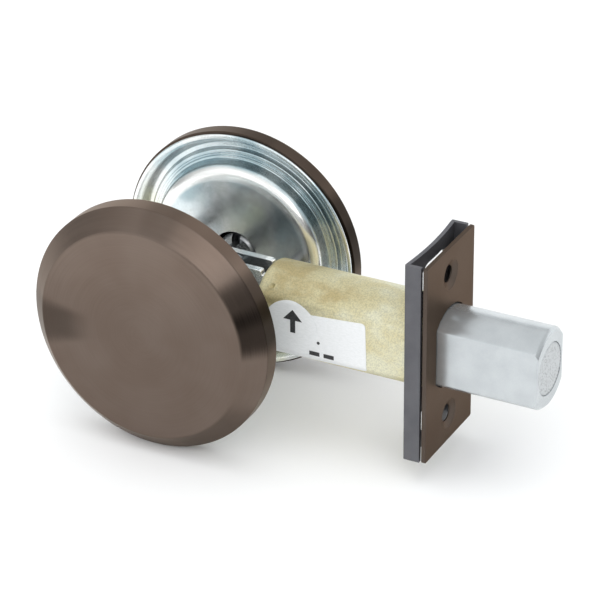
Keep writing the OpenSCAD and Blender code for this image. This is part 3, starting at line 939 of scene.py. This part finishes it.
def build_crank():
    """Hub with two arms, their pin, and the link that carries the bolt."""
    pin_x = (crank_pin_low.x + crank_pin_high.x) / 2
    pin_z = (crank_pin_low.z + crank_pin_high.z) / 2
    arms = []
    for side in (-1, 1):
        y0, y1 = sorted((side * 1.07, side * 2.13))
        arms.append(flat_part("arm", "Y", [bar((0, 0), (pin_x, pin_z), 5.85, 3.55)], y0, y1, 0.15))
    crank = lathe("crank_body", rounded([
        (0, -crank_high.y, 0), (5, -crank_high.y, 0.2), (5, -1.6, 0), (5.85, -1.6, 0),
        (5.85, 1.6, 0), (5, 1.6, 0), (5, crank_high.y, 0.2), (0, crank_high.y, 0)], 3), steps=96)
    fuse(crank, *arms)
    cut(crank, box_part("slot", (-1.28, -6, -3.28), (1.28, 6, 3.28)))
    finish_piece(crank, "zinc", "turn_piece", "crank")
    pin = rod_y("crank_pin_rod", pin_x, pin_z, 2.0, crank_pin_low.y, crank_pin_high.y, 0.25)
    finish_piece(pin, "steel", "turn_piece", "crank_pin")

    top, bottom = link_high.z, link_low.z
    low_edge = -11.0
    slot = bar((pin_x, pin_z), (pin_x, pin_z - 5.26), 2.65, 2.65)
    outline = rounded([
        (link_high.x, top, 0.8), (pin_x - 4.6, top, 2), (pin_x - 4.6, bottom, 3), (pin_x + 4.6, bottom, 3),
        (pin_x + 4.6, low_edge, 1), (link_high.x, low_edge, 0.8)])
    pin_at = ((link_pin_low.x + link_pin_high.x) / 2, (link_pin_low.z + link_pin_high.z) / 2)
    outlines = [outline, slot, circle(*pin_at, 1.3, 32)]
    link = flat_part("tail_link_plate", "Y", outlines, link_low.y, link_high.y, 0.15)
    finish_piece(link, "zinc", "bolt_piece", "tail_link")
    pin = rod_y("link_pin_rod", *pin_at, 1.25, link_pin_low.y, link_pin_high.y, 0.15, 48)
    finish_piece(pin, "steel", "bolt_piece", "link_pin")


def build_bolt():
    """Round bolt with two flats that run to its end, tapered at the tip, with a hard core let in."""
    rear, tip = bolt_low.x, bolt_high.x
    taper = 1.0
    core_r = insert_high.z + 0.03

    def bolt_ring(x, inset=0.0, flat_inset=0.0):
        return at_x(x, flatted(BOLT_R - inset, BOLT_HALF - flat_inset, 0.5))

    straight = (rear + 0.4, rear + 10, rear + 20, rear + 30, tip - taper - 2, tip - taper - 0.12)
    rings = [bolt_ring(rear, 0.4, 0.4)] + [bolt_ring(x) for x in straight]
    rings += [bolt_ring(tip - taper + 0.1, 0.12), bolt_ring(tip - 0.25, taper - 0.3),
              bolt_ring(tip - 0.12, taper - 0.1, 0.03), bolt_ring(tip, taper + 0.05, 0.18)]
    for r, x in ((core_r + 0.12, tip), (core_r, tip - 0.12), (core_r, tip - 2.0)):
        rings.append([Vector((x, *(Vector((p.y, p.z)).normalized() * r))) for p in rings[-1]])
    bolt = loft("bolt_body", rings, sharp=28)
    way = box_part("way", (rear - 1, -1.0, -12.0), (rear + 7.2, 1.0, -6.9))
    cut(bolt, way)
    finish_piece(bolt, "bolt", "bolt_piece", "bolt")

    r = insert_high.z
    notches, steps = 44, 352
    rings = []
    for depth, ring_r, knurl in ((1.9, r, 0), (0.5, r, 0), (0.2, r - 0.05, 0.32), (0.1, r - 0.2, 0.32),
                                 (0.08, r - 0.9, 0), (0.05, r - 3.5, 0), (0.04, 0.6, 0)):
        ring = []
        for i in range(steps):
            a = 2 * math.pi * i / steps
            notched = ring_r - knurl * (0.5 + 0.5 * math.cos(notches * a))
            ring.append(Vector((tip - depth, notched * math.cos(a), notched * math.sin(a))))
        rings.append(ring)
    core = loft("hardened_insert_core", rings)
    finish_piece(core, "insert", "bolt_piece", "hardened_insert")


def build_guide():
    """Bush that the bolt slides in, just behind the faceplate."""
    outer = flatted(SLEEVE_R - SLEEVE_T - 0.03, SLEEVE_HALF - SLEEVE_T - 0.03, 1.0)
    bore = flatted(BOLT_R + 0.06, BOLT_HALF + 0.06, 0.5)
    rear, front = guide_low.x, guide_high.x
    rings = [at_x(rear, outer), at_x(front, outer), at_x(front, bore), at_x(rear, bore)]
    guide = loft("bolt_guide_bush", rings, hollow=True)
    finish_piece(guide, "zinc", "lock_case", "bolt_guide")


def build_channel():
    """Channel behind the faceplate, its web bowed forward, open at both ends."""
    back, front = channel_low.x, channel_high.x
    half = channel_high.y
    t = 1.1
    bow = 0.8
    outline = [Vector((front, -half)), *corner((front, -half), (back, -half), (back, 0), 0.35, 4)]
    steps = 24
    span = half - t
    ys = [-span + 2 * span * i / steps for i in range(steps + 1)]
    web = [Vector((back + bow * (1 - (y / span) ** 2), y)) for y in ys]
    outline += web[1:-1]
    outline += corner((back, 0), (back, half), (front, half), 0.35, 4)
    outline += [Vector((front, half)), Vector((front, half - t))]
    outline += [p + Vector((t, 0)) for p in reversed(web)]
    outline += [Vector((front, -half + t))]
    rings = [[Vector((x, y, z)) for x, y in outline] for z in (channel_low.z, channel_high.z)]
    channel = loft("backer_channel_body", rings)
    hole = flatted(SLEEVE_R + 0.03, SLEEVE_HALF + 0.03, SLEEVE_EDGE, 64)
    cutters = [loft("hole", [at_x(back - 1, hole), at_x(front - 1.5, hole)])]
    for side in (-1, 1):
        z = side * SCREW_PITCH / 2
        slot = bar((-SLOT_REACH, z), (SLOT_REACH, z), SLOT_R, SLOT_R)
        cutters.append(flat_part("slot", "X", [slot], back - 1, front - 1, 0.05))
    cut(channel, *cutters)
    soften(channel, 0.16)
    finish_piece(channel, "channel", "lock_case", "backer_channel")


def build_faceplate():
    """Rectangular front with a bolt opening and two countersunk holes."""
    back, front = face_low.x, face_high.x
    w, h = FACE_HALF_W, FACE_HALF_H
    rim = rounded([(-w, -h, 0.6), (w, -h, 0.6), (w, h, 0.6), (-w, h, 0.6)])
    plate = flat_part("faceplate_front", "X", [rim], back, front, 0.18)
    gap = 0.35
    opening = flatted(BOLT_R + gap, BOLT_HALF + gap, 0.5)
    cutters = [loft("opening", [at_x(back - 1, opening), at_x(front + 1, opening)])]
    sink = ((back - 1, FACE_HOLE_R), (front - 0.85, FACE_HOLE_R),
            (front - 0.05, SINK_R), (front + 1, SINK_R + 0.05))
    for side in (-1, 1):
        cutters.append(loft("sink", [at_x(x, circle(0, side * SCREW_PITCH / 2, r)) for x, r in sink]))
    cut(plate, *cutters)
    soften(plate, 0.1, 2, 30)
    finish_piece(plate, "brushed_bronze", "lock_case", "faceplate")


# ---- labels

def sleeve_walk(distance, lift):
    """(y, z) on the sleeve's outer flat side, lifted off it; distance is measured along its skin."""
    r, half, edge = SLEEVE_R, SLEEVE_HALF, SLEEVE_EDGE
    cy = half - edge
    cz = math.sqrt((r - edge) ** 2 - cy ** 2)
    meet = math.atan2(cz, cy)
    sign = 1 if distance >= 0 else -1
    d = abs(distance)
    if d <= cz:
        return -(half + lift), sign * d
    d -= cz
    if d <= edge * meet:
        a = d / edge
        return -(cy + (edge + lift) * math.cos(a)), sign * (cz + (edge + lift) * math.sin(a))
    a = meet + (d - edge * meet) / r
    return -((r + lift) * math.cos(a)), sign * (r + lift) * math.sin(a)


def drape(name, outline_at, columns, rows, lift, thickness):
    """Thin sheet on the sleeve: outline_at(u, v) gives (x, distance) for u and v from 0 to 1."""
    verts, faces = [], []
    for layer in (lift + thickness, lift):
        for j in range(rows + 1):
            for i in range(columns + 1):
                x, distance = outline_at(i / columns, j / rows)
                verts.append((x, *sleeve_walk(distance, layer)))
    row = columns + 1
    count = row * (rows + 1)
    for j in range(rows):
        for i in range(columns):
            a = j * row + i
            faces.append((a, a + 1, a + row + 1, a + row))
            faces.append((count + a, count + a + row, count + a + row + 1, count + a + 1))
    edge = [*range(row), *(j * row + columns for j in range(1, rows + 1)),
            *(rows * row + i for i in range(columns - 1, -1, -1)), *(j * row for j in range(rows - 1, 0, -1))]
    for a, b in zip(edge, edge[1:] + edge[:1]):
        faces.append((a, b, count + b, count + a))
    return make_mesh(name, verts, faces, 50)


def build_labels():
    """Long label round the outer flat, round label over its end, and plain generic printing."""
    right, top_edge, length, height = 54.4, 6.1, 30.4, 14.6
    rise, lean = math.radians(4.3), math.radians(1.6)

    def long_outline(u, v):
        along = (1 - u) ** 2.2                              # columns crowd towards the rounded end
        r = 1.2                                             # rounded corners
        short = max(0.0, r - along * length)
        inset = r - math.sqrt(r * r - short ** 2)
        across = inset + (height - 2 * inset) * (1 - v)
        x = right - along * length + across * math.tan(lean)
        return x, top_edge - along * length * math.sin(rise) - across

    label = drape("long_label_sheet", long_outline, 60, 40, 0.01, 0.1)
    finish_piece(label, "paper", "lock_case", "long_label")

    cx, cd, r = 32.7, -0.1, 7.8

    def disc_outline(u, v):
        a, b = 2 * u - 1, 2 * v - 1
        return cx + r * a * math.sqrt(1 - b * b / 2), cd + r * b * math.sqrt(1 - a * a / 2)

    disc = drape("round_label_sheet", disc_outline, 48, 48, 0.11, 0.13)
    finish_piece(disc, "paper", "lock_case", "round_label")

    arrow = ((-0.75, -3.4), (0.75, -3.4), (0.75, 0.3), (2.8, 0.3), (0, 3.4), (-2.8, 0.3), (-0.75, 0.3))
    arrow = [Vector(p) + Vector((33.3, 1.9)) for p in arrow]
    marks = []
    for outline, lift in ((arrow, 0.27), (circle(40.75, -2.9, 0.45, 24), 0.14)):
        y = -(SLEEVE_HALF + lift)
        marks.append(flat_part("mark", "Y", [outline], y, y + 0.035, 0.01))
    for left in (38.1, 42.3):                               # two short strokes
        marks.append(drape("mark", lambda u, v: (left + 3.0 * u, -6.9 + 1.2 * v), 4, 8, 0.125, 0.02))
    print_on = gather("label_print", marks)
    finish_piece(print_on, "ink", "lock_case")


# ---- stage, light and camera

def build_stage():
    """Plain pale floor just under the lock; size and height are in metres."""
    size = 3.0
    z = cad_bounds[0][2] - 0.0003
    mesh = bpy.data.meshes.new("floor")
    corners = [(-size, -size, z), (size, -size, z), (size, size, z), (-size, size, z)]
    mesh.from_pydata(corners, [], [(0, 1, 2, 3)])
    floor = add_object("floor", mesh)
    p = Paint("floor_paper", Roughness=0.9)
    p.set("Base Color", p.ramp(p.noise(p.place(), 6.0, 2.0), (0.3, 0.93), (0.7, 0.95)))
    mesh.materials.append(p.material)


def build_light():
    """Soft white surroundings, dimmer near the horizon, with a softbox and a broad sun."""
    world = bpy.data.worlds.new("studio")
    bpy.context.scene.world = world
    world.use_nodes = True
    sky = Nodes(world.node_tree)
    x, y, z = sky.split(sky.node("ShaderNodeTexCoord").outputs["Generated"])
    level = sky.ramp(z, (0.0, 0.36), (0.18, 0.44), (0.5, 0.68), (0.7, 0.92), (1.0, 1.0), smooth=False)
    low_sky = sky.ramp(z, (0.38, 1.0), (0.43, 0.0))
    behind = sky.mix(1.0, sky.ramp(y, (0.30, 0.0), (0.50, 1.0)), low_sky, "MULTIPLY")
    level = sky.mix(behind, level, (1.45, 1.45, 1.45))    # a bright strip low behind the lock
    unlit_corner = sky.dot((x, y), (0.84, -0.54))         # of the room, to the right in front
    level = sky.mix(1.0, level, sky.ramp(unlit_corner, (0.84, 1.0), (0.98, 0.25)), "MULTIPLY")
    bright_wall = sky.dot((x, y, z), (-0.42, -0.88, 0.22))    # in front, to the left
    level = sky.mix(1.0, level, sky.ramp(bright_wall, (0.70, 0.0), (0.95, 0.60)), "ADD")
    level = sky.mix(1.0, level, (0.97, 0.99, 1.0), "MULTIPLY")
    background = world.node_tree.nodes["Background"]
    sky.feed(background.inputs["Color"], level)
    background.inputs["Strength"].default_value = 0.93

    softbox = bpy.data.lights.new("softbox", "AREA")
    softbox.size = 0.5
    softbox.energy = 1.1
    box = add_object("softbox", softbox)
    box.location = (0.50, -0.62, 0.60)
    box.rotation_euler = box.location.to_track_quat("Z", "Y").to_euler()

    wash = bpy.data.lights.new("wash", "SUN")             # evens out the floor, unseen in the metal
    wash.energy = 1.5
    wash.angle = math.radians(110)
    sun = add_object("wash", wash)
    sun.rotation_euler = Vector((-0.25, -0.75, 1.0)).to_track_quat("Z", "Y").to_euler()
    sun.visible_glossy = False


def build_camera():
    azimuth, elevation, roll = (math.radians(a) for a in (27.56, 28.448, -0.471))
    flat = math.cos(elevation)
    back = Vector((math.sin(azimuth) * flat, -math.cos(azimuth) * flat, math.sin(elevation)))
    side = Vector((math.cos(azimuth), math.sin(azimuth), 0))
    up = back.cross(side)
    right = math.cos(roll) * side + math.sin(roll) * up
    upright = -math.sin(roll) * side + math.cos(roll) * up
    target = Vector((30.245, 0.0, 2.582)) * MM
    distance = 846.6 * MM
    data = bpy.data.cameras.new("camera")
    data.sensor_width = 36
    data.lens = 191.86
    data.clip_end = 20
    camera = add_object("camera", data)
    pose = Matrix((right, upright, back)).transposed().to_4x4()
    pose.translation = target + back * distance
    camera.matrix_world = pose
    bpy.context.scene.camera = camera
    bpy.context.scene.view_settings.view_transform = "Standard"


build_plates()
build_hardware()
build_thumbturn()
build_drive()
build_sleeve()
build_cheeks()
build_crank()
build_bolt()
build_guide()
build_channel()
build_faceplate()
build_labels()
build_stage()
build_light()
build_camera()
